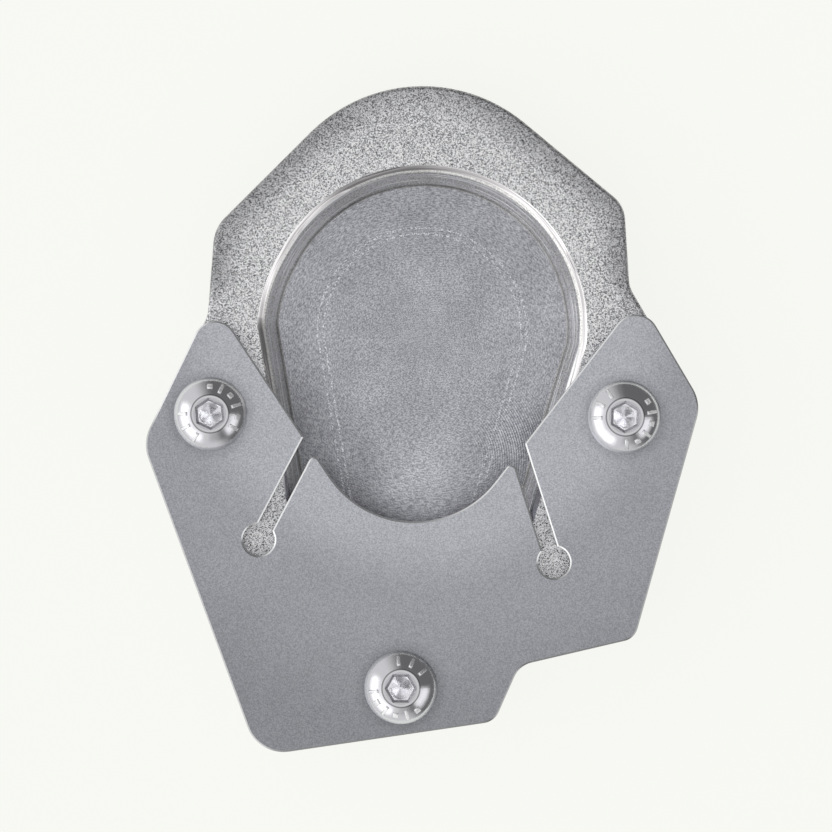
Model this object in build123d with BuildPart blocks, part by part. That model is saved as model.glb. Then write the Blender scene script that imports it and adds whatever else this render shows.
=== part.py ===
import os
from math import asin, atan2, cos, degrees, hypot, radians, sin, sqrt, tan

from build123d import *

# Kickstand foot enlarger for a motorbike. An aluminium base has a pocket that takes the foot of the
# side stand. A steel plate on the base grips the foot's edge and leaves a V for the stand's leg.
# Three button head screws hold the plate down.
# Millimetres, +Z up. The origin is the middle of the pocket, on the ground face.

# Thicknesses and edges
base_thickness = 9.0
base_edge_radius = 0.6  # rounding of the base's upper edge
ground_chamfer = 0.6  # broken edge round the ground face
plate_thickness = 2.5
plate_edge_width = 0.2  # broken edges of the steel plate, measured along its faces
plate_edge_drop = 0.11  # and down its sides
plate_overhang = 0.25  # how far the plate stands out past the base, all round

# Outline that base and plate share, anticlockwise from the left shoulder to the right one
left_shoulder = (-36.35, -14.45)
left_toe = (-21.3, -55.2)
right_toe = (9.4, -50.7)
step_inside = (12.65, -43.4)
step_outside = (27.65, -39.9)
right_shoulder = (36.3, -9.25)
shoulder_radius = 5.0
left_toe_radius = 5.0
right_toe_radius = 2.5
step_inside_radius = 3.2
step_outside_radius = 2.3

# The plate's two ears and the V between them
left_ear = (-27.3, 4.2)
right_ear = (28.15, 4.55)
throat = (-1.8, -34.25)  # where the two sides of the V would meet
left_ear_radius = 2.8
right_ear_radius = 3.0
throat_radius = 13.3

# Slots from the V into the plate, each with a round end, so that the ears can bend down on the foot
slot_width = 2.1
slot_end_radius = 2.1
left_slot_end = (-21.25, -27.05)
left_slot_angle = 62.4  # direction from the round end to the V, degrees from +X
right_slot_end = (17.15, -30.0)
right_slot_angle = 107.5
ear_tip_radius = 0.35
tongue_tip_radius = 0.7

# Round head of the base, beyond the ears
crown = (-1.2, 39.75)  # where the two slopes beside the crown would meet
crown_radius = 21.05
left_head = (-27.35, 13.7)
left_head_radius = 5.4
right_head = (26.65, 16.65)
right_head_radius = 4.3
left_waist_reach = -2.1  # from the ear's corner along its outer edge, upwards
right_waist_reach = 1.6
waist_radius = 3.5

# Pocket for the foot: two round cuts side by side, then two straight flanks down to a rounded end
pocket_depth = 5.0
pocket_radius = 20.55  # of each round cut, at the base's upper face
wall_draft = 19.0  # lean of the pocket's wall, degrees from upright
pocket_shift = (0.3, 0.53)  # from the origin to the middle of each round cut, both ways
left_flank_start = 175.5  # where each flank leaves its round cut, degrees from +X
right_flank_start = -6.2
left_flank_slope = 9.4  # degrees in from upright
right_flank_slope = 16.9
pocket_reach = 37.6  # from the origin down to the pocket's lower end
pocket_end_flat = 2.2  # straight stretch between the two roundings of the lower end
wall_blend_radius = 5.0  # where the round cuts meet each other and the flanks
rim_width = 0.75  # broken rim, measured along the upper face
rim_drop = 0.6  # and down the wall
floor_fillet = 0.4

# Button head screws, M5, with a hexagon socket
screw_places = {"left": (-27.5, -10.7), "right": (26.3, -11.1), "lower": (-2.75, -46.25)}
key_turns = {"left": 35.0, "right": 28.0, "lower": 0.0}  # turn of each hexagon, degrees
thread_diameter = 5.0
thread_clearance = 0.03  # between the screw and its tapped hole, per side
hole_clearance = 0.25  # between the screw and its hole in the plate, per side
tapped_hole_chamfer = 0.5
screw_tip_recess = 1.5  # how far the screw's tip stays above the ground face
screw_tip_chamfer = 0.7
head_diameter = 9.5
head_height = 2.75
head_land = 0.35  # upright edge under the dome
key_size = 3.0
key_depth = 1.9
key_mouth_chamfer = 0.33
key_point_angle = 120.0  # of the drilled cone below the hexagon
crown_flat_diameter = 4.9  # flat top of the head, round the socket

plate_top = base_thickness + plate_thickness
pocket_floor = base_thickness - pocket_depth
thread_radius = thread_diameter / 2
tapped_radius = thread_radius + thread_clearance
screw_length = plate_top - screw_tip_recess


def beyond(start, end, reach):
    """The point past end by reach, on the line from start to end."""
    run_x, run_y = end[0] - start[0], end[1] - start[1]
    share = reach / hypot(run_x, run_y)
    return (end[0] + run_x * share, end[1] + run_y * share)


def on_round_cut(middle, angle):
    """The point of the round cut about middle that lies at an angle from +X."""
    return (middle[0] + pocket_radius * cos(radians(angle)), middle[1] + pocket_radius * sin(radians(angle)))


def flank_end(start, slope):
    """The lower end of the flank from start. The slope leans to the right on the way down."""
    return (start[0] + (start[1] + pocket_reach) * tan(radians(slope)), -pocket_reach)


def slot_reach(ear, slot_end, angle):
    """Length of a slot from its round end to the side of the V that runs from the throat to ear."""
    side_x, side_y = ear[0] - throat[0], ear[1] - throat[1]
    gap_x, gap_y = throat[0] - slot_end[0], throat[1] - slot_end[1]
    run_x, run_y = cos(radians(angle)), sin(radians(angle))
    return (gap_y * side_x - gap_x * side_y) / (run_y * side_x - run_x * side_y)


# Outline shared by base and plate
shared_corners = [left_shoulder, left_toe, right_toe, step_inside, step_outside, right_shoulder]
shared_radii = [
    shoulder_radius,
    left_toe_radius,
    right_toe_radius,
    step_inside_radius,
    step_outside_radius,
    shoulder_radius,
]

# Pocket: where its flanks start and end, the roundings between them, and where the round cuts meet
left_middle = (-pocket_shift[0], -pocket_shift[1])
right_middle = pocket_shift
flank_corners = [
    on_round_cut(left_middle, left_flank_start),
    flank_end(on_round_cut(left_middle, left_flank_start), left_flank_slope),
    flank_end(on_round_cut(right_middle, right_flank_start), -right_flank_slope),
    on_round_cut(right_middle, right_flank_start),
]
end_width = flank_corners[2][0] - flank_corners[1][0]
end_turns = (90 - left_flank_slope, 90 - right_flank_slope)
end_radius = (end_width - pocket_end_flat) / sum(tan(radians(turn / 2)) for turn in end_turns)
meet_angle = 90 + degrees(atan2(pocket_shift[1], pocket_shift[0]))
meet_lean = degrees(asin(hypot(*pocket_shift) / pocket_radius))
left_arc_start = meet_angle - meet_lean
right_arc_end = meet_angle + meet_lean

with BuildSketch(Plane.XY.offset(base_thickness)) as pocket_mouth:
    with BuildLine():
        CenterArc(right_middle, pocket_radius, right_flank_start, right_arc_end - right_flank_start)
        CenterArc(left_middle, pocket_radius, left_arc_start, left_flank_start - left_arc_start)
        FilletPolyline(*flank_corners, radius=[end_radius, end_radius])
    make_face()
    fillet(pocket_mouth.vertices().sort_by(Axis.Y)[-3:], wall_blend_radius)

# Aluminium base
with BuildPart() as foot_base:
    with BuildSketch():
        with BuildLine():
            FilletPolyline(
                *shared_corners,
                beyond(right_shoulder, right_ear, right_waist_reach),
                right_head,
                crown,
                left_head,
                beyond(left_shoulder, left_ear, left_waist_reach),
                radius=shared_radii
                + [waist_radius, right_head_radius, crown_radius, left_head_radius, waist_radius],
                close=True,
            )
        make_face()
        offset(amount=-plate_overhang)
    extrude(amount=base_thickness)
    fillet(foot_base.faces().sort_by(Axis.Z)[-1].edges(), base_edge_radius)
    chamfer(foot_base.faces().sort_by(Axis.Z)[0].edges(), ground_chamfer)
    add(pocket_mouth.sketch)
    extrude(amount=-pocket_depth, taper=wall_draft, mode=Mode.SUBTRACT)
    upper_face = foot_base.faces().sort_by(Axis.Z)[-1]
    chamfer(upper_face.inner_wires()[0].edges(), rim_width, rim_drop, reference=upper_face)
    floor_face = foot_base.faces().filter_by_position(Axis.Z, pocket_floor, pocket_floor)[0]
    fillet(floor_face.edges(), floor_fillet)
    with Locations(*[(x, y, base_thickness) for x, y in screw_places.values()]):
        Hole(tapped_radius)
    chamfer(foot_base.edges(Select.LAST).filter_by(GeomType.CIRCLE), tapped_hole_chamfer)
foot_base.part.label = "foot_base"

# Steel clamp plate
with BuildPart() as clamp_plate:
    with BuildSketch(Plane.XY.offset(base_thickness)) as plate_outline:
        with BuildLine():
            FilletPolyline(
                *shared_corners,
                right_ear,
                throat,
                left_ear,
                radius=shared_radii + [right_ear_radius, throat_radius, left_ear_radius],
                close=True,
            )
        make_face()
        for ear, slot_end, angle in (
            (left_ear, left_slot_end, left_slot_angle),
            (right_ear, right_slot_end, right_slot_angle),
        ):
            reach = slot_reach(ear, slot_end, angle)
            with Locations(Location((*slot_end, 0), (0, 0, angle))):
                Circle(slot_end_radius, mode=Mode.SUBTRACT)
                Rectangle(
                    reach + slot_width,
                    slot_width,
                    align=(Align.MIN, Align.CENTER),
                    mode=Mode.SUBTRACT,
                )
            mouth_x = slot_end[0] + reach * cos(radians(angle))
            mouth_y = slot_end[1] + reach * sin(radians(angle))
            for height_order, tip_radius in ((0, tongue_tip_radius), (-1, ear_tip_radius)):
                corners = plate_outline.vertices().sort_by_distance((mouth_x, mouth_y, base_thickness))
                fillet(corners[:2].sort_by(Axis.Y)[height_order], tip_radius)
    extrude(amount=plate_thickness)
    for side_face in clamp_plate.faces().filter_by(Axis.Z):
        chamfer(side_face.edges(), plate_edge_width, plate_edge_drop, reference=side_face)
    with Locations(*[(x, y, plate_top) for x, y in screw_places.values()]):
        Hole(thread_radius + hole_clearance)
clamp_plate.part.label = "clamp_plate"


def button_screw(place, key_turn):
    """One screw, its head seated on the plate at place, with its hexagon turned by key_turn."""
    head_radius = head_diameter / 2
    key_radius = key_size / 2
    flat_radius = crown_flat_diameter / 2
    rise = head_height - head_land
    dome_drop = (head_radius**2 - flat_radius**2 - rise**2) / (2 * rise)
    dome_radius = sqrt(head_radius**2 + dome_drop**2)
    key_floor = head_height - key_depth
    seat = Plane((*place, plate_top))
    profile_plane = Plane(seat.origin, x_dir=(1, 0, 0), z_dir=(0, -1, 0))
    with BuildPart() as screw:
        with BuildSketch(profile_plane):
            with BuildLine():
                Polyline(
                    (flat_radius, head_height),
                    (0, head_height),
                    (0, -screw_length),
                    (thread_radius - screw_tip_chamfer, -screw_length),
                    (thread_radius, screw_tip_chamfer - screw_length),
                    (thread_radius, 0),
                    (head_radius, 0),
                    (head_radius, head_land),
                )
                RadiusArc((head_radius, head_land), (flat_radius, head_height), -dome_radius)
            make_face()
        revolve(axis=Axis(seat.origin, (0, 0, 1)))
        with BuildSketch(seat.offset(head_height)):
            RegularPolygon(key_radius, 6, major_radius=False, rotation=key_turn)
        extrude(amount=-key_depth, mode=Mode.SUBTRACT)
        with BuildSketch(profile_plane):
            with BuildLine():
                Polyline(
                    (0, key_floor),
                    (key_radius, key_floor),
                    (0, key_floor - key_radius / tan(radians(key_point_angle / 2))),
                    close=True,
                )
            make_face()
        revolve(axis=Axis(seat.origin, (0, 0, 1)), mode=Mode.SUBTRACT)
        chamfer(screw.faces().sort_by(Axis.Z)[-1].inner_wires()[0].edges(), key_mouth_chamfer)
    return screw


# Files, one for each piece
os.makedirs("parts", exist_ok=True)
export_step(foot_base.part, "parts/foot_base.step")
export_step(clamp_plate.part, "parts/clamp_plate.step")
for side, place in screw_places.items():
    screw = button_screw(place, key_turns[side])
    screw.part.label = side + "_screw"
    export_step(screw.part, "parts/" + side + "_screw.step")
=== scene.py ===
from functools import partial
from math import asin, cos, pi, radians, sin

import bmesh
import bpy
from mathutils import Matrix, Vector


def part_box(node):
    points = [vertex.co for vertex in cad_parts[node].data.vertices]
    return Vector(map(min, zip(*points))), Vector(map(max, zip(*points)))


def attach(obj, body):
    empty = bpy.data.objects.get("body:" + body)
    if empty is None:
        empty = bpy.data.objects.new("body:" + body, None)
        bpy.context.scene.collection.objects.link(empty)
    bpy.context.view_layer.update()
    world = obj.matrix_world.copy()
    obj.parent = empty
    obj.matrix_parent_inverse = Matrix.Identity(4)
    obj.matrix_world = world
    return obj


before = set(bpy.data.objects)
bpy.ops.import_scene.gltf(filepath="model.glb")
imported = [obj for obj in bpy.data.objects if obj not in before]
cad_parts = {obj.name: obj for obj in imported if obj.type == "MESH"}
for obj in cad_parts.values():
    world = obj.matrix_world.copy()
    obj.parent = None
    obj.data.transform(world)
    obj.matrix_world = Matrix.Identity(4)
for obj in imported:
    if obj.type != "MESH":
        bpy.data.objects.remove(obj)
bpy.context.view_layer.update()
print("frame loaded:", ", ".join(sorted(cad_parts)))

mm = 0.001
screwNames = ("left_screw", "right_screw", "lower_screw")


# Small helpers

def hexToLinear(code):
    # sRGB hex value to linear red, green, blue and alpha
    shares = [int(code[i:i + 2], 16) / 255 for i in (1, 3, 5)]
    return [s / 12.92 if s <= 0.04045 else ((s + 0.055) / 1.055) ** 2.4 for s in shares] + [1.0]


def perMetre(sizeInMm):
    # texture scale for a pattern whose grains are this large
    return 1 / (sizeInMm * mm)


def inMetres(sizesInMm, start=0.0):
    # sizes in mm, counted from a start in metres
    return [start + size * mm for size in sizesInMm]


def spans(taken, given=(0.0, 1.0)):
    # what a Map Range node needs: the span that it takes in, and the one that it gives
    return {"From Min": taken[0], "From Max": taken[1], "To Min": given[0], "To Max": given[1]}


def direction(azimuth, elevation):
    # unit vector, degrees: azimuth anticlockwise from +X, elevation above the floor
    a, e = radians(azimuth), radians(elevation)
    return Vector((cos(a) * cos(e), sin(a) * cos(e), sin(e)))


def addNode(tree, kind, settings, inputs):
    # one node with its settings; an input is a value, an output socket, or a node whose result it takes
    node = tree.nodes.new("ShaderNode" + kind)
    for name, value in settings.items():
        setattr(node, name, value)
    for key, value in inputs.items():
        if isinstance(value, bpy.types.Node):
            value = next(socket for socket in value.outputs if socket.enabled)
        if isinstance(value, bpy.types.NodeSocket):
            tree.links.new(value, node.inputs[key])
        else:
            node.inputs[key].default_value = value
    return node


def newMaterial(name):
    material = bpy.data.materials.new(name)
    material.use_nodes = True
    material.node_tree.nodes.clear()
    return material, partial(addNode, material.node_tree)


def finishPiece(name, bm, material):
    # a mesh in its place becomes a piece that rides with the part
    mesh = bpy.data.meshes.new(name)
    bm.to_mesh(mesh)
    bm.free()
    mesh.materials.append(material)
    piece = bpy.data.objects.new(name, mesh)
    bpy.context.scene.collection.objects.link(piece)
    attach(piece, "root")


# Camera, straight above the part with a long lens

cameraView = {
    "aim": (-0.79, -10.97),  # mm, what lies in the middle of the picture
    "height": 650 * mm,  # above the plate's top
    "fieldWidth": 108.16 * mm,  # of the plate's top that the picture takes in
    "sensor": 36.0,
}


def makeCamera():
    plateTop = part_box("clamp_plate")[1].z
    data = bpy.data.cameras.new("camera")
    data.sensor_width = cameraView["sensor"]
    data.lens = cameraView["sensor"] * cameraView["height"] / cameraView["fieldWidth"]
    camera = bpy.data.objects.new("camera", data)
    camera.location = (*inMetres(cameraView["aim"]), plateTop + cameraView["height"])
    bpy.context.scene.collection.objects.link(camera)
    bpy.context.scene.camera = camera


makeCamera()
print("camera set")


# Studio: pale floor and soft light from a tent

studio = {
    "floorSize": 5.0,  # m
    "floorColour": "#f6f7f2",
    "floorShadow": 0.13,  # share of the shadow that the camera sees on the floor
    "glow": 1.06,
    "ceiling": 0.81,
    "ceilingAngles": (38, 62),  # degrees above the floor, between which the walls become the ceiling
    "port": 0.74,  # darker opening for the lens
    "portAngles": (5, 11),  # degrees off the upright, between which it fades out
    "paleSide": 0.75,
    "darkSide": 0.16,
    "darkAzimuth": 22,
    "sideTurn": (-0.30, 0.40),  # where the walls turn dark: 1 is straight towards the dark side
}

softBoxes = [
    # azimuth, elevation, half width, half height and soft edge in degrees, and strength
    {"azimuth": 203, "elevation": 22, "width": 45, "height": 9, "edge": 9, "strength": 1.1},
    {"azimuth": 334, "elevation": 29, "width": 24, "height": 10, "edge": 8, "strength": 0.95},
    {"azimuth": 284, "elevation": 29, "width": 18, "height": 11, "edge": 8, "strength": -0.22},  # dark flag
]

smoothly = {"interpolation_type": "SMOOTHSTEP"}  # for Map Range nodes without a hard start and end


def makeWorld():
    world = bpy.data.worlds.new("lightTent")
    bpy.context.scene.world = world
    world.use_nodes = True
    world.node_tree.nodes.clear()
    add = partial(addNode, world.node_tree)
    towards = add("TexCoord", {}, {}).outputs["Generated"]
    height = add("SeparateXYZ", {}, {0: towards}).outputs["Z"]
    # walls of the tent: pale on one side, dark on the other
    side = add("VectorMath", {"operation": "DOT_PRODUCT"}, {
        0: towards, 1: direction(studio["darkAzimuth"], 0)}).outputs["Value"]
    wall = add("MapRange", smoothly, {
        "Value": side, **spans(studio["sideTurn"], (studio["paleSide"], studio["darkSide"]))})
    # ceiling above, and the lens's opening in it
    aloft = add("MapRange", smoothly, {
        "Value": height, **spans([sin(radians(angle)) for angle in studio["ceilingAngles"]])})
    tent = add("Mix", {"data_type": "FLOAT"}, {0: aloft, 2: wall, 3: studio["ceiling"]})
    near, far = studio["portAngles"]
    port = add("MapRange", smoothly, {
        "Value": height, **spans((cos(radians(far)), cos(radians(near))))})
    total = add("Mix", {"data_type": "FLOAT"}, {0: port, 2: tent, 3: studio["port"]})
    for box in softBoxes:
        # azimuth and elevation away from the box's middle, each faded at the box's edges
        ahead, sideways = [
            add("VectorMath", {"operation": "DOT_PRODUCT"}, {
                0: towards, 1: direction(azimuth, 0)}).outputs["Value"]
            for azimuth in (box["azimuth"], box["azimuth"] + 90)]
        turn = add("Math", {"operation": "ABSOLUTE"}, {0: add("Math", {"operation": "ARCTAN2"}, {
            0: sideways, 1: ahead})})
        lift = add("Math", {"operation": "ABSOLUTE"}, {0: add("Math", {"operation": "SUBTRACT"}, {
            0: add("Math", {"operation": "ARCSINE"}, {0: height}), 1: radians(box["elevation"])})})
        strength = box["strength"]
        for offset, reach in ((turn, box["width"]), (lift, box["height"])):
            edge = (radians(reach - box["edge"]), radians(reach + box["edge"]))
            fade = add("MapRange", smoothly, {"Value": offset, **spans(edge, (1.0, 0.0))})
            strength = add("Math", {"operation": "MULTIPLY"}, {0: fade, 1: strength})
        total = add("Math", {"operation": "ADD"}, {0: total, 1: strength})
    light = add("Background", {}, {"Color": (1, 1, 1, 1), "Strength": total})
    add("OutputWorld", {}, {"Surface": light})


def makeFloor():
    mesh = bpy.data.meshes.new("floor")
    bm = bmesh.new()
    bmesh.ops.create_grid(bm, x_segments=1, y_segments=1, size=studio["floorSize"] / 2)
    bm.to_mesh(mesh)
    bm.free()
    floor = bpy.data.objects.new("floor", mesh)
    bpy.context.scene.collection.objects.link(floor)
    material, add = newMaterial("matte paper")  # pale and even, with a light shadow
    colour = hexToLinear(studio["floorColour"])
    paper = add("BsdfDiffuse", {}, {"Color": colour})
    glow = add("Emission", {}, {"Color": colour, "Strength": studio["glow"]})
    path = add("LightPath", {}, {})
    direct = add("Math", {"operation": "MAXIMUM"}, {
        0: path.outputs["Is Camera Ray"], 1: path.outputs["Is Glossy Ray"]})
    seen = add("Math", {"operation": "MULTIPLY"}, {0: direct, 1: 1 - studio["floorShadow"]})
    surface = add("MixShader", {}, {0: seen, 1: paper, 2: glow})
    add("OutputMaterial", {}, {"Surface": surface})
    mesh.materials.append(material)


makeWorld()
makeFloor()
bpy.context.scene.view_settings.view_transform = "Standard"
print("studio set")


# What the metals share; sizes in their dictionaries are in mm

noiseKinds = {  # finer layers in a noise, and how strong they are
    "smooth": {"Detail": 0.0},
    "lines": {"Detail": 1.0, "Roughness": 0.5},
    "grain": {"Detail": 1.0, "Roughness": 0.6},
    "waves": {"Detail": 2.0, "Roughness": 0.5},
    "fineGrain": {"Detail": 2.0, "Roughness": 0.6},
    "wallGrain": {"Detail": 2.0, "Roughness": 0.7},
    "clouds": {"Detail": 3.0, "Roughness": 0.6},
    "scuffs": {"Detail": 3.0, "Roughness": 0.7},
}


def longNoise(add, place, size, kind):
    # noise whose grains are drawn out along the pocket's wall, to this length and height
    length, height = size
    stretched = add("Mapping", {}, {
        "Vector": place, "Scale": (perMetre(length), perMetre(length), perMetre(height))})
    return add("TexNoise", {}, {"Vector": stretched, "Scale": 1.0, **noiseKinds[kind]})


def grainColour(add, grain, finish):
    # a finish's dark and light colours, mixed by its grain
    share = add("MapRange", {}, {"Value": grain, **spans(finish["grainSpan"])})
    return add("Mix", {"data_type": "RGBA"}, {
        0: share, 6: hexToLinear(finish["darkGrain"]), 7: hexToLinear(finish["colour"])})


def spotTone(add, flat, spot, reaches, tones):
    # a tone that turns smoothly with the distance from a spot, whose place is in metres
    away = add("VectorMath", {"operation": "DISTANCE"}, {0: flat, 1: (*spot, 0)}).outputs["Value"]
    return add("MapRange", smoothly, {"Value": away, **spans(inMetres(reaches), tones)})


def makeMetal(add, colour, roughness, heights):
    bump = add("Bump", {}, {"Height": heights, "Strength": 1.0, "Distance": 1.0})
    metal = add("BsdfPrincipled", {}, {
        "Base Color": colour, "Metallic": 1.0, "Roughness": roughness, "Normal": bump})
    add("OutputMaterial", {}, {"Surface": metal})


# Blasted aluminium: coarse glass beads leave a dull, sparkling grain, and the milled pocket stays smoother

blasted = {
    "colour": "#fcfcff",
    "darkGrain": "#36373b",
    "grain": 0.112,  # size of the beads' dents
    "grainSpan": (0.0, 0.76),  # where the pattern turns from dark to light
    "dentDepth": 0.030,
    "roughness": 0.45,
    "paleReach": (21.5, 28.0),  # painted sheen: from the pocket's middle, over which the face gets darker
    "paleTone": (1.21, 1.0),
    "edgeReach": 4.8,  # painted shade: from the outer edge, over which it is darker still
    "edgeTone": (0.60, 1.0),
    "edgeFoot": 6.5,  # how far up the part the darker edge begins
    "crownEdges": ((-45.1, 28.8), (-129.7, 29.6)),  # sides: degrees that each faces inwards, distance
    "lowerEdges": ((-4.3, 28.1), (-176.3, 27.4)),
    "crownBlend": 24.0,  # over which the first two run together in the round crown
}

pocket = {
    "radius": 20.4,
    "depth": 5.0,
    "flanks": ((9.4, 20.2), (163.1, 20.2), (90.0, 37.6)),  # its straight sides, as above
    "rimHeight": 0.40,
    "rimReach": 1.5,  # the pocket's faces go no further out than this
    "topGap": 0.01,  # under the base's upper face, where the pocket's faces start
    "groundGap": 0.1,  # under the floor, where they end
    "floorSkin": 0.03,  # over the floor, up to which all counts as floor
}

milledFloor = {
    "colour": "#d4d5db",
    "darkGrain": "#97989f",
    "grain": 0.14,
    "grainSpan": (0.41, 0.59),
    "stroke": (0.14, 0.75),  # width and length of the cutter's fine strokes round the pocket
    "strokeShare": 0.5,
    "dentDepth": 0.008,
    "roughness": 0.42,
    "cloud": 5.0,  # soft patches
    "cloudSpan": (0.25, 0.75),
    "cloudTones": (0.86, 1.10),
    "reflectionPlace": (-0.7, -19.3),  # a painted reflection, a paler patch at the foot of the V
    "reflectionReach": 7.5,
    "reflectionTone": 0.24,
    "earAzimuth": 33.6,  # the left ear's edge over the floor faces this way
    "earReach": (-20.4, -11.4),  # along it from the middle, over which the ear's shade ends
    "earShade": 0.27,
    "headReach": (2.0, 18.0),  # up the pocket, over which painted shade darkens it
    "headShade": 0.10,
    "pathInset": 7.0,  # inside the wall, where the cutter's last turn left a faint line of specks
    "pathGap": 0.38,  # it is two lines, this far to both sides
    "pathWidth": 0.24,
    "pathTone": 0.6,
    "speckSpan": (0.5, 0.62),
    "turnSpacing": 0.31,  # fine turns of the cutter
    "turnMiddle": (2.3, -16.7),
    "turnZone": (12.9, -14.0),  # where they show best
    "turnReach": 8.0,
    "turnDepths": (0.42, 0.06),  # how much they show there and elsewhere
}

milledWall = {
    "colour": "#c6c5c3",
    "roughness": 0.36,
    "line": (9.0, 0.6),  # length and spacing of the tool lines
    "lineDepth": 0.012,
    "lineSpan": (0.38, 0.64),
    "lineTones": (0.86, 1.1),
    "grain": (0.2, 0.6),  # along the wall and up it
    "grainSpan": (0.38, 0.62),
    "grainTones": (0.72, 1.28),
    "scratch": (11.0, 0.5),  # length and width of the cutter's scratches, brightened by a painted glint
    "scratchSpan": (0.58, 0.68),
    "scratchGlow": 1.6,
    "scratchHeight": 0.085,
    "scratchFoot": (0.5, 1.0),  # over the floor, where they fade in
    "sideAzimuth": 18,  # painted light: its tone turns this way
    "sideReach": (-14.0, 14.0),
    "sideTones": (1.62, 1.45),
    "creaseReach": (0.0, 0.65),  # over the floor, where painted shade darkens its corner
    "creaseTone": 0.42,
}

milledRim = {
    "colour": "#f4f1f2",
    "roughness": 0.20,
    "line": (9.0, 0.16),
    "lineSpan": (0.38, 0.60),
    "lineTones": (0.60, 1.1),
    "edgeHeight": 0.08,  # of the painted highlight line at its upper edge
    "edgeTone": 1.3,
    "sideTones": (0.98, 0.88),  # painted light that turns as on the wall
    "shadePlace": (0.0, 20.9),  # painted shade darkens it at the top
    "shadeReach": 8.0,
    "shadeTone": 0.58,
}


def locate(add):
    # where a point lies in the base, seen from above, and how far inside the pocket's outline
    place = add("TexCoord", {}, {}).outputs["Object"]
    axes = add("SeparateXYZ", {}, {0: place}).outputs
    flat = add("VectorMath", {"operation": "MULTIPLY"}, {0: place, 1: (1, 1, 0)})
    reach = add("VectorMath", {"operation": "LENGTH"}, {0: flat}).outputs["Value"]
    # the pocket is round above its middle, and below it only the distance to the left or right counts
    above = add("VectorMath", {"operation": "MAXIMUM"}, {0: flat, 1: (-1, 0, 0)})
    roundReach = add("VectorMath", {"operation": "LENGTH"}, {0: above}).outputs["Value"]
    inset = add("Math", {"operation": "SUBTRACT"}, {0: pocket["radius"] * mm, 1: roundReach})
    for gap in fromSides(add, flat, pocket["flanks"]):
        inset = add("Math", {"operation": "MINIMUM"}, {0: inset, 1: gap})
    return {"place": place, "x": axes["X"], "y": axes["Y"], "height": axes["Z"], "flat": flat,
            "reach": reach, "roundReach": roundReach, "inset": inset}


def fromSides(add, flat, sides):
    # how far inside each straight side a point lies
    gaps = []
    for azimuth, distance in sides:
        along = add("VectorMath", {"operation": "DOT_PRODUCT"}, {0: flat, 1: direction(azimuth, 0)})
        gaps.append(add("Math", {"operation": "ADD"}, {0: along.outputs["Value"], 1: distance * mm}))
    return gaps


def paintedSideLight(add, at, tones):
    # painted light: a tone that turns from the pocket's left to its right
    along = add("VectorMath", {"operation": "DOT_PRODUCT"}, {
        0: at["flat"], 1: direction(milledWall["sideAzimuth"], 0)})
    return add("MapRange", smoothly, {
        "Value": along.outputs["Value"], **spans(inMetres(milledWall["sideReach"]), tones)})


def pocketFaces(add, at, baseTop, floorHeight):
    # which face a point is on
    inside = add("Math", {"operation": "GREATER_THAN"}, {0: at["inset"], 1: -pocket["rimReach"] * mm})
    under = add("Math", {"operation": "LESS_THAN"}, {0: at["height"], 1: baseTop - pocket["topGap"] * mm})
    over = add("Math", {"operation": "GREATER_THAN"}, {
        0: at["height"], 1: floorHeight - pocket["groundGap"] * mm})
    between = add("Math", {"operation": "MULTIPLY"}, {0: under, 1: over})
    isPocket = add("Math", {"operation": "MULTIPLY"}, {0: inside, 1: between})
    isRim = add("Math", {"operation": "GREATER_THAN"}, {
        0: at["height"], 1: baseTop - pocket["rimHeight"] * mm})
    isFloor = add("Math", {"operation": "LESS_THAN"}, {
        0: at["height"], 1: floorHeight + pocket["floorSkin"] * mm})
    return isPocket, isRim, isFloor


def blastedColour(add, at):
    # sparkling grain, with a painted sheen paler near the pocket and painted shade along the head's outer
    # edge
    beads = add("SeparateColor", {}, {0: add("TexVoronoi", {}, {
        "Vector": at["place"], "Scale": perMetre(blasted["grain"])}).outputs["Color"]})
    paintedSheen = add("MapRange", smoothly, {
        "Value": at["roundReach"], **spans(inMetres(blasted["paleReach"]), blasted["paleTone"])})
    # painted shade along the head's outer edge
    left, right = fromSides(add, at["flat"], blasted["crownEdges"])
    crown = add("Math", {"operation": "SMOOTH_MIN"}, {0: left, 1: right, 2: blasted["crownBlend"] * mm})
    left, right = fromSides(add, at["flat"], blasted["lowerEdges"])
    lower = add("Math", {"operation": "MINIMUM"}, {0: left, 1: right})
    belowFoot = add("Math", {"operation": "SUBTRACT"}, {0: blasted["edgeFoot"] * mm, 1: at["y"]})
    fromEdge = add("Math", {"operation": "ADD"}, {
        0: add("Math", {"operation": "MINIMUM"}, {0: crown, 1: lower}),
        1: add("Math", {"operation": "MAXIMUM"}, {0: belowFoot, 1: 0.0})})
    edgeTone = add("MapRange", smoothly, {
        "Value": fromEdge, **spans((0.0, blasted["edgeReach"] * mm), blasted["edgeTone"])})
    tone = add("Math", {"operation": "MULTIPLY"}, {0: paintedSheen, 1: edgeTone})
    return add("VectorMath", {"operation": "SCALE"}, {0: grainColour(add, beads, blasted), "Scale": tone})


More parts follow.
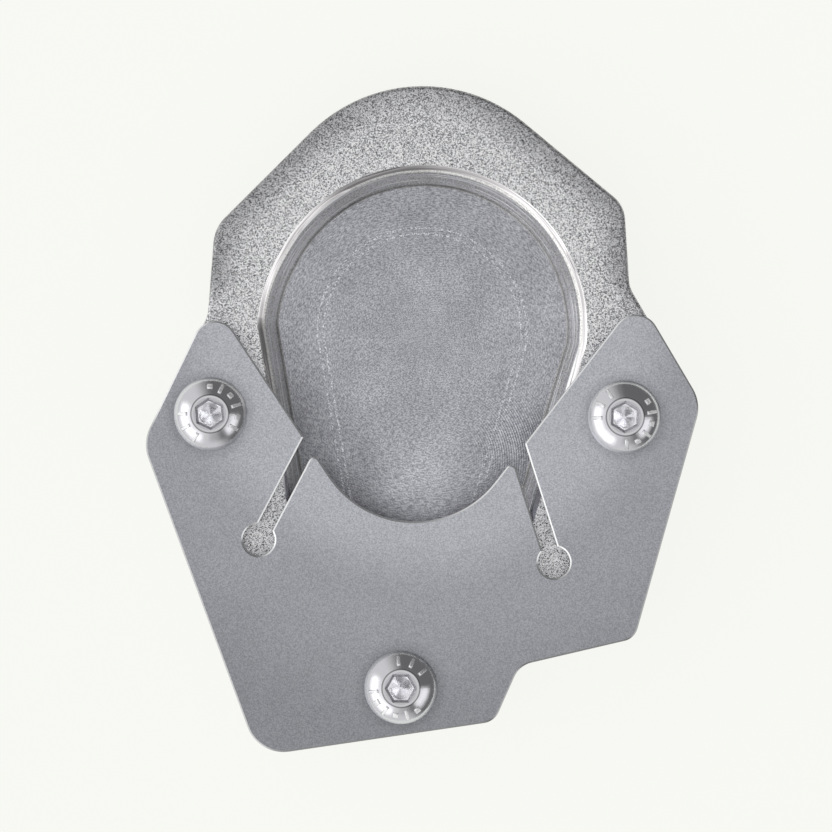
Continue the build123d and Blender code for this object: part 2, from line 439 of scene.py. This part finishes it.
def floorColour(add, at, fine):
    # fine grain, and the cutter's strokes round the pocket
    width, length = milledFloor["stroke"]
    turned = add("Math", {"operation": "ARCTAN2"}, {0: at["y"], 1: at["x"]})
    strokes = add("TexNoise", {}, {
        "Vector": add("CombineXYZ", {}, {
            "X": add("Math", {"operation": "MULTIPLY"}, {0: at["reach"], 1: perMetre(width)}),
            "Y": add("Math", {"operation": "MULTIPLY"}, {
                0: turned, 1: pocket["radius"] * mm * perMetre(length)})}),
        "Scale": 1.0, **noiseKinds["grain"]})
    grain = add("Mix", {"data_type": "FLOAT"}, {0: milledFloor["strokeShare"], 2: fine, 3: strokes})

    # the double line of specks on the cutter's path
    specks = add("MapRange", {}, {"Value": fine, **spans(milledFloor["speckSpan"])})
    offPath = at["inset"]
    for offset in (milledFloor["pathInset"], milledFloor["pathGap"]):
        offPath = add("Math", {"operation": "ABSOLUTE"}, {0: add("Math", {"operation": "SUBTRACT"}, {
            0: offPath, 1: offset * mm})})
    onPath = add("MapRange", smoothly, {
        "Value": offPath, **spans((0.0, milledFloor["pathWidth"] * mm), (milledFloor["pathTone"], 0.0))})

    # its fine turns
    fromTurn = add("VectorMath", {"operation": "DISTANCE"}, {
        0: at["flat"], 1: (*inMetres(milledFloor["turnMiddle"]), 0)}).outputs["Value"]
    turns = add("Math", {"operation": "SINE"}, {0: add("Math", {"operation": "MULTIPLY"}, {
        0: fromTurn, 1: 2 * pi * perMetre(milledFloor["turnSpacing"])})})
    turnDepth = spotTone(
        add, at["flat"], inMetres(milledFloor["turnZone"]), (0.0, milledFloor["turnReach"]),
        milledFloor["turnDepths"])
    faintTurns = add("Math", {"operation": "MULTIPLY"}, {0: turns, 1: turnDepth})
    marks = add("Math", {"operation": "MULTIPLY_ADD"}, {0: onPath, 1: specks, 2: faintTurns})

    # soft patches, a painted reflection at the foot of the V, and painted shade under the left ear and
    # towards the head
    clouds = add("TexNoise", {}, {
        "Vector": at["place"], "Scale": perMetre(milledFloor["cloud"]), **noiseKinds["clouds"]})
    patches = add("MapRange", {}, {
        "Value": clouds, **spans(milledFloor["cloudSpan"], milledFloor["cloudTones"])})
    paintedReflection = spotTone(
        add, at["flat"], inMetres(milledFloor["reflectionPlace"]), (0.0, milledFloor["reflectionReach"]),
        (milledFloor["reflectionTone"], 0.0))
    tone = add("Math", {"operation": "ADD"}, {
        0: add("Math", {"operation": "ADD"}, {0: patches, 1: marks}), 1: paintedReflection})
    # painted shadow of the left ear on the floor
    alongEar = add("VectorMath", {"operation": "DOT_PRODUCT"}, {
        0: at["flat"], 1: direction(milledFloor["earAzimuth"], 0)}).outputs["Value"]
    earShade = add("MapRange", smoothly, {
        "Value": alongEar, **spans(inMetres(milledFloor["earReach"]), (milledFloor["earShade"], 0.0))})
    # painted shade towards the head of the pocket
    headShade = add("MapRange", smoothly, {
        "Value": at["y"], **spans(inMetres(milledFloor["headReach"]), (0.0, milledFloor["headShade"]))})
    for shade in (earShade, headShade):
        tone = add("Math", {"operation": "SUBTRACT"}, {0: tone, 1: shade})
    return add("VectorMath", {"operation": "SCALE"}, {
        0: grainColour(add, grain, milledFloor), "Scale": tone})


def wallScratches(add, at, floorHeight):
    # thin scratches along the wall, that fade in and out; they are bumps and carry a painted glint
    noise = longNoise(add, at["place"], milledWall["scratch"], "smooth")
    thin = add("MapRange", smoothly, {"Value": noise, **spans(milledWall["scratchSpan"])})
    raised = add("MapRange", {}, {
        "Value": at["height"], **spans(inMetres(milledWall["scratchFoot"], floorHeight))})
    return add("Math", {"operation": "MULTIPLY"}, {0: thin, 1: raised})


def wallColour(add, at, lines, scratches, floorHeight):
    lineTone = add("MapRange", {}, {
        "Value": lines, **spans(milledWall["lineSpan"], milledWall["lineTones"])})
    grain = longNoise(add, at["place"], milledWall["grain"], "wallGrain")
    grainTone = add("MapRange", {}, {
        "Value": grain, **spans(milledWall["grainSpan"], milledWall["grainTones"])})
    # painted shade in the corner over the floor
    cornerShade = add("MapRange", smoothly, {
        "Value": at["height"],
        **spans(inMetres(milledWall["creaseReach"], floorHeight), (milledWall["creaseTone"], 1.0))})
    # the scratches add a painted glint to the tool lines and grain
    tone = add("Math", {"operation": "MULTIPLY_ADD"}, {
        0: add("Math", {"operation": "MULTIPLY"}, {0: lineTone, 1: grainTone}), 1: cornerShade,
        2: add("Math", {"operation": "MULTIPLY"}, {0: scratches, 1: milledWall["scratchGlow"]})})
    # painted light across the wall, lighter on its left
    tone = add("Math", {"operation": "MULTIPLY"}, {0: tone, 1: paintedSideLight(add, at, milledWall["sideTones"])})
    return add("VectorMath", {"operation": "SCALE"}, {
        0: hexToLinear(milledWall["colour"])[:3], "Scale": tone})


def rimColour(add, at, baseTop):
    lines = longNoise(add, at["place"], milledRim["line"], "lines")
    tone = add("MapRange", {}, {"Value": lines, **spans(milledRim["lineSpan"], milledRim["lineTones"])})
    # painted highlight line along the rim's upper edge
    onEdge = add("Math", {"operation": "GREATER_THAN"}, {
        0: at["height"], 1: baseTop - milledRim["edgeHeight"] * mm})
    edgeTone = add("Mix", {"data_type": "FLOAT"}, {0: onEdge, 2: 1.0, 3: milledRim["edgeTone"]})
    # painted shade at the top of the rim
    rimShade = spotTone(
        add, at["flat"], inMetres(milledRim["shadePlace"]), (0.0, milledRim["shadeReach"]),
        (milledRim["shadeTone"], 1.0))
    # painted light: the rim's tone turns from left to right as on the wall
    for factor in (edgeTone, paintedSideLight(add, at, milledRim["sideTones"]), rimShade):
        tone = add("Math", {"operation": "MULTIPLY"}, {0: tone, 1: factor})
    return add("VectorMath", {"operation": "SCALE"}, {
        0: hexToLinear(milledRim["colour"])[:3], "Scale": tone})


def makeBlastedAluminium():
    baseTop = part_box("foot_base")[1].z
    floorHeight = baseTop - pocket["depth"] * mm
    material, add = newMaterial("bead blasted aluminium")
    at = locate(add)
    isPocket, isRim, isFloor = pocketFaces(add, at, baseTop, floorHeight)
    dents = add("TexNoise", {}, {
        "Vector": at["place"], "Scale": perMetre(blasted["grain"]), **noiseKinds["grain"]})
    fine = add("TexNoise", {}, {
        "Vector": at["place"], "Scale": perMetre(milledFloor["grain"]), **noiseKinds["grain"]})
    lines = longNoise(add, at["place"], milledWall["line"], "lines")
    scratches = wallScratches(add, at, floorHeight)

    sideColour = add("Mix", {"data_type": "RGBA"}, {
        0: isRim, 6: wallColour(add, at, lines, scratches, floorHeight), 7: rimColour(add, at, baseTop)})
    pocketColour = add("Mix", {"data_type": "RGBA"}, {
        0: isFloor, 6: sideColour, 7: floorColour(add, at, fine)})
    colour = add("Mix", {"data_type": "RGBA"}, {0: isPocket, 6: blastedColour(add, at), 7: pocketColour})

    sideRoughness = add("Mix", {"data_type": "FLOAT"}, {
        0: isRim, 2: milledWall["roughness"], 3: milledRim["roughness"]})
    pocketRoughness = add("Mix", {"data_type": "FLOAT"}, {
        0: isFloor, 2: sideRoughness, 3: milledFloor["roughness"]})
    roughness = add("Mix", {"data_type": "FLOAT"}, {
        0: isPocket, 2: blasted["roughness"], 3: pocketRoughness})

    # height: dents outside, finer ones on the pocket's floor, tool lines and scratches on its wall
    coarse = add("Math", {"operation": "MULTIPLY"}, {0: dents, 1: blasted["dentDepth"] * mm})
    shallow = add("Math", {"operation": "MULTIPLY"}, {0: fine, 1: milledFloor["dentDepth"] * mm})
    ridges = add("Math", {"operation": "MULTIPLY_ADD"}, {
        0: lines, 1: milledWall["lineDepth"] * mm,
        2: add("Math", {"operation": "MULTIPLY"}, {0: scratches, 1: milledWall["scratchHeight"] * mm})})
    pocketHeight = add("Mix", {"data_type": "FLOAT"}, {0: isFloor, 2: ridges, 3: shallow})
    heights = add("Mix", {"data_type": "FLOAT"}, {0: isPocket, 2: coarse, 3: pocketHeight})
    makeMetal(add, colour, roughness, heights)
    return material


# Satin stainless steel: tumbled sheet with a fine even grain and a soft sheen, a painted sheen round the
# pocket, painted shade round the screw heads, and a painted highlight on its broken edges

satin = {
    "colour": "#c8cad0",
    "darkGrain": "#a5a7ad",
    "grain": 0.17,  # drawn coarser than the real one, so that it shows
    "grainSpan": (0.35, 0.65),
    "dentDepth": 0.0035,
    "roughness": 0.38,
    "cloud": 9.0,  # soft patches
    "cloudSpan": (0.25, 0.75),
    "cloudTones": (0.97, 1.03),
    "paleReach": (26.0, 35.0),  # painted sheen: from the pocket's middle, over which the sheet gets darker
    "paleTone": (1.13, 0.87),
    "farReach": (36.0, 54.0),
    "farTone": (1.0, 0.79),
    "headReach": (4.6, 6.4),  # from a screw's axis: painted shade darkens the sheet close round the heads
    "headShadeTone": (0.80, 1.0),
    # the broken edge's pale colour is a painted highlight
    "edgeColour": "#f4f4f4",
    "edgeRoughness": 0.26,
    "edgeDrop": (0.003, 0.12),  # below the upper face, where the broken edge lies
    "outerReach": (35.0, 38.0),  # from the pocket's middle, over which the edge's painted highlight fades
    "outerTone": (1.0, 0.5),
}


def makeSatinStainless():
    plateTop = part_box("clamp_plate")[1].z
    material, add = newMaterial("tumbled stainless steel")
    place = add("TexCoord", {}, {}).outputs["Object"]
    height = add("SeparateXYZ", {}, {0: place}).outputs["Z"]
    flat = add("VectorMath", {"operation": "MULTIPLY"}, {0: place, 1: (1, 1, 0)})
    reach = add("VectorMath", {"operation": "LENGTH"}, {0: flat}).outputs["Value"]
    grain = add("TexNoise", {}, {
        "Vector": place, "Scale": perMetre(satin["grain"]), **noiseKinds["fineGrain"]})
    clouds = add("TexNoise", {}, {
        "Vector": place, "Scale": perMetre(satin["cloud"]), **noiseKinds["clouds"]})
    tone = add("MapRange", {}, {"Value": clouds, **spans(satin["cloudSpan"], satin["cloudTones"])})
    # painted sheen: paler round the pocket, darker far out
    for reaches, tones in (("paleReach", "paleTone"), ("farReach", "farTone")):
        fall = add("MapRange", smoothly, {"Value": reach, **spans(inMetres(satin[reaches]), satin[tones])})
        tone = add("Math", {"operation": "MULTIPLY"}, {0: tone, 1: fall})
    # painted shade close round the screw heads
    for screwName in screwNames:
        low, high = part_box(screwName)
        axis = ((low.x + high.x) / 2, (low.y + high.y) / 2)
        shade = spotTone(add, flat, axis, satin["headReach"], satin["headShadeTone"])
        tone = add("Math", {"operation": "MULTIPLY"}, {0: tone, 1: shade})
    face = add("VectorMath", {"operation": "SCALE"}, {0: grainColour(add, grain, satin), "Scale": tone})

    # the broken edge along the upper face, smoother, with a painted highlight
    dropFrom, dropTo = satin["edgeDrop"]
    under = add("Math", {"operation": "LESS_THAN"}, {0: height, 1: plateTop - dropFrom * mm})
    over = add("Math", {"operation": "GREATER_THAN"}, {0: height, 1: plateTop - dropTo * mm})
    isEdge = add("Math", {"operation": "MULTIPLY"}, {0: under, 1: over})
    edgeTone = add("MapRange", smoothly, {
        "Value": reach, **spans(inMetres(satin["outerReach"]), satin["outerTone"])})
    edge = add("VectorMath", {"operation": "SCALE"}, {
        0: hexToLinear(satin["edgeColour"])[:3], "Scale": edgeTone})
    colour = add("Mix", {"data_type": "RGBA"}, {0: isEdge, 6: face, 7: edge})
    roughness = add("Mix", {"data_type": "FLOAT"}, {
        0: isEdge, 2: satin["roughness"], 3: satin["edgeRoughness"]})
    dents = add("Math", {"operation": "MULTIPLY"}, {0: grain, 1: satin["dentDepth"] * mm})
    makeMetal(add, colour, roughness, dents)
    return material


# Polished stainless steel: bright headed screws, with faint scuffs that run out from the socket

polished = {
    "colour": "#e0e0e4",
    "roughness": 0.13,
    "ripple": 1.2,  # soft waves left by forging
    "rippleDepth": 0.018,
    "scuffs": 7.0,  # noise grains to a head's radius, which gives about 44 scuffs round it
    "scuffDepth": 0.004,
    "flatten": (1.05, 4),  # the real domes are flatter outside: height in micrometres at 1 mm, its power
    "outlineReach": 2.46,  # radius of the painted shade line round the crown's flat
    "outlineFade": (0.035, 0.14),  # off that line, over which it ends
    "outlineTone": 0.38,
    "bandReach": (4.2, 4.6),  # from the axis, over which the head gets duller
    "bandRoughness": 0.30,
    "topGap": 0.01,  # under the top of the head, where the socket starts
    "socketReach": 2.12,  # from the axis: the broached socket is duller than the dome
    "socketRoughness": 0.20,
    "socketDents": (0.34, 0.024),  # size and depth
    "socketTones": (0.84, 1.3),  # painted shade at its broken edge and on the flat round it, painted light below it
    "mouthHeight": 0.36,  # of the broken edge
}


def makePolishedStainless(screwName):
    low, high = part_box(screwName)
    middle = (low + high) / 2
    material, add = newMaterial("polished stainless steel, " + screwName.replace("_", " "))
    place = add("TexCoord", {}, {}).outputs["Object"]
    height = add("SeparateXYZ", {}, {0: place}).outputs["Z"]
    own = add("Mapping", {}, {"Vector": place, "Location": (-middle.x, -middle.y, 0)})
    flat = add("VectorMath", {"operation": "MULTIPLY"}, {0: own, 1: (1, 1, 0)})
    reach = add("VectorMath", {"operation": "LENGTH"}, {0: flat}).outputs["Value"]

    # the dome: waves, a flatter outside and scuffs
    ripple = add("TexNoise", {}, {
        "Vector": place, "Scale": perMetre(polished["ripple"]), **noiseKinds["waves"]})
    waves = add("Math", {"operation": "MULTIPLY"}, {0: ripple, 1: polished["rippleDepth"] * mm})
    flattenHeight, flattenPower = polished["flatten"]
    curve = add("Math", {"operation": "POWER"}, {
        0: add("Math", {"operation": "MULTIPLY"}, {0: reach, 1: 1 / mm}), 1: flattenPower})
    flattened = add("Math", {"operation": "MULTIPLY_ADD"}, {0: curve, 1: flattenHeight * mm * mm, 2: waves})
    spoke = add("VectorMath", {"operation": "NORMALIZE"}, {0: flat})
    scuffs = add("TexNoise", {}, {"Vector": spoke, "Scale": polished["scuffs"], **noiseKinds["scuffs"]})
    domeHeight = add("Math", {"operation": "MULTIPLY_ADD"}, {
        0: scuffs, 1: polished["scuffDepth"] * mm, 2: flattened})
    domeRoughness = add("MapRange", smoothly, {
        "Value": reach,
        **spans(inMetres(polished["bandReach"]), (polished["roughness"], polished["bandRoughness"]))})
    # a painted shade line round the crown's flat
    offLine = add("Math", {"operation": "ABSOLUTE"}, {0: add("Math", {"operation": "SUBTRACT"}, {
        0: reach, 1: polished["outlineReach"] * mm})})
    domeTone = add("MapRange", smoothly, {
        "Value": offLine, **spans(inMetres(polished["outlineFade"]), (polished["outlineTone"], 1.0))})

    # the socket lies near the axis, below the top of the head
    near = add("Math", {"operation": "LESS_THAN"}, {0: reach, 1: polished["socketReach"] * mm})
    under = add("Math", {"operation": "LESS_THAN"}, {0: height, 1: high.z - polished["topGap"] * mm})
    isSocket = add("Math", {"operation": "MULTIPLY"}, {0: near, 1: under})
    dentSize, dentDepth = polished["socketDents"]
    dents = add("TexNoise", {}, {
        "Vector": place, "Scale": perMetre(dentSize), **noiseKinds["fineGrain"]})
    socketHeight = add("Math", {"operation": "MULTIPLY"}, {0: dents, 1: dentDepth * mm})
    # painted shade at the socket's broken edge and on the flat round it, painted light deeper down
    deep = add("Math", {"operation": "LESS_THAN"}, {0: height, 1: high.z - polished["mouthHeight"] * mm})
    mouthTone, deepTone = polished["socketTones"]
    socketTone = add("Mix", {"data_type": "FLOAT"}, {0: deep, 2: mouthTone, 3: deepTone})

    heights = add("Mix", {"data_type": "FLOAT"}, {0: isSocket, 2: domeHeight, 3: socketHeight})
    roughness = add("Mix", {"data_type": "FLOAT"}, {
        0: isSocket, 2: domeRoughness, 3: polished["socketRoughness"]})
    tone = add("Mix", {"data_type": "FLOAT"}, {0: near, 2: domeTone, 3: socketTone})
    colour = add("VectorMath", {"operation": "SCALE"}, {
        0: hexToLinear(polished["colour"])[:3], "Scale": tone})
    makeMetal(add, colour, roughness, heights)
    return material


def dress(node, material):
    node.data.materials.clear()
    node.data.materials.append(material)


dress(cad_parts["foot_base"], makeBlastedAluminium())
dress(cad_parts["clamp_plate"], makeSatinStainless())
for screwName in screwNames:
    dress(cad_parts[screwName], makePolishedStainless(screwName))
print("materials made")


# Raised marks on the screws' domes: plain bars and pips round the socket

screwMarks = {
    "firstMark": {"left_screw": 180, "right_screw": 124, "lower_screw": 37},  # degrees from +X
    "groups": (  # degrees after the first mark, how many, degrees between, shapes in turn
        (0, 3, 29, ("bar",)),
        (150, 6, 24, ("bar", "pip")),
    ),
    "ring": 3.55 * mm,  # from the head's axis
    "domeRadius": 5.256 * mm,
    "domeDrop": 1.9 * mm,  # middle of the dome's sphere below the seat
    "bar": (1.55 * mm, 0.46 * mm),  # length outwards, width
    "pip": (0.74 * mm, 0.74 * mm),
    "rise": 0.21 * mm,
    "sunk": 0.2 * mm,
    "rounding": 0.11 * mm,
    "roundingSteps": 4,
    # paler than the dome: painted sheen
    "colour": "#fbfbfd",
    "grain": 0.3,  # mm
    "roughness": (0.36, 0.56),
}


def makeMarkSteel():
    # stamped marks keep the dull skin of the tool, and a paler colour than the dome as painted sheen, so
    # they show pale on the bright dome
    material, add = newMaterial("stamped stainless steel")
    place = add("TexCoord", {}, {}).outputs["Object"]
    grain = add("TexNoise", {}, {
        "Vector": place, "Scale": perMetre(screwMarks["grain"]), **noiseKinds["waves"]})
    roughness = add("MapRange", {}, {"Value": grain, **spans((0.0, 1.0), screwMarks["roughness"])})
    metal = add("BsdfPrincipled", {}, {
        "Base Color": hexToLinear(screwMarks["colour"]), "Metallic": 1.0, "Roughness": roughness})
    add("OutputMaterial", {}, {"Surface": metal})
    return material


def makeScrewMarks(screwName, material):
    low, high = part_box(screwName)
    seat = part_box("clamp_plate")[1].z
    sphere = Vector(((low.x + high.x) / 2, (low.y + high.y) / 2, seat - screwMarks["domeDrop"]))
    lean = 90 - asin(screwMarks["ring"] / screwMarks["domeRadius"]) * 180 / pi
    tall = screwMarks["rise"] + screwMarks["sunk"]
    bm = bmesh.new()
    for start, count, step, shapes in screwMarks["groups"]:
        for index in range(count):
            azimuth = screwMarks["firstMark"][screwName] + start + index * step
            outwards = direction(azimuth, lean)
            sideways = direction(azimuth + 90, 0)
            length, width = screwMarks[shapes[index % len(shapes)]]
            mark = bmesh.ops.create_cube(bm, size=1.0)["verts"]
            bmesh.ops.scale(bm, vec=(length, width, tall), verts=mark)
            edges = dict.fromkeys(edge for vert in mark for edge in vert.link_edges)
            upper = [edge for edge in edges if sum(vert.co.z for vert in edge.verts) > 0]
            made = bmesh.ops.bevel(
                bm, geom=upper, offset=screwMarks["rounding"], affect="EDGES",
                segments=screwMarks["roundingSteps"], profile=0.5, material=-1)
            body = dict.fromkeys(made["verts"] + [vert for vert in mark if vert.is_valid])
            turned = Matrix((sideways.cross(outwards), sideways, outwards)).transposed().to_4x4()
            middle = sphere + outwards * (screwMarks["domeRadius"] + screwMarks["rise"] - tall / 2)
            bmesh.ops.transform(bm, matrix=Matrix.Translation(middle) @ turned, verts=list(body))
    bmesh.ops.recalc_face_normals(bm, faces=bm.faces)
    for face in bm.faces:
        face.smooth = True
    finishPiece(screwName + "_marks", bm, material)


markSteel = makeMarkSteel()
for screwName in screwNames:
    makeScrewMarks(screwName, markSteel)
print("screw marks made")
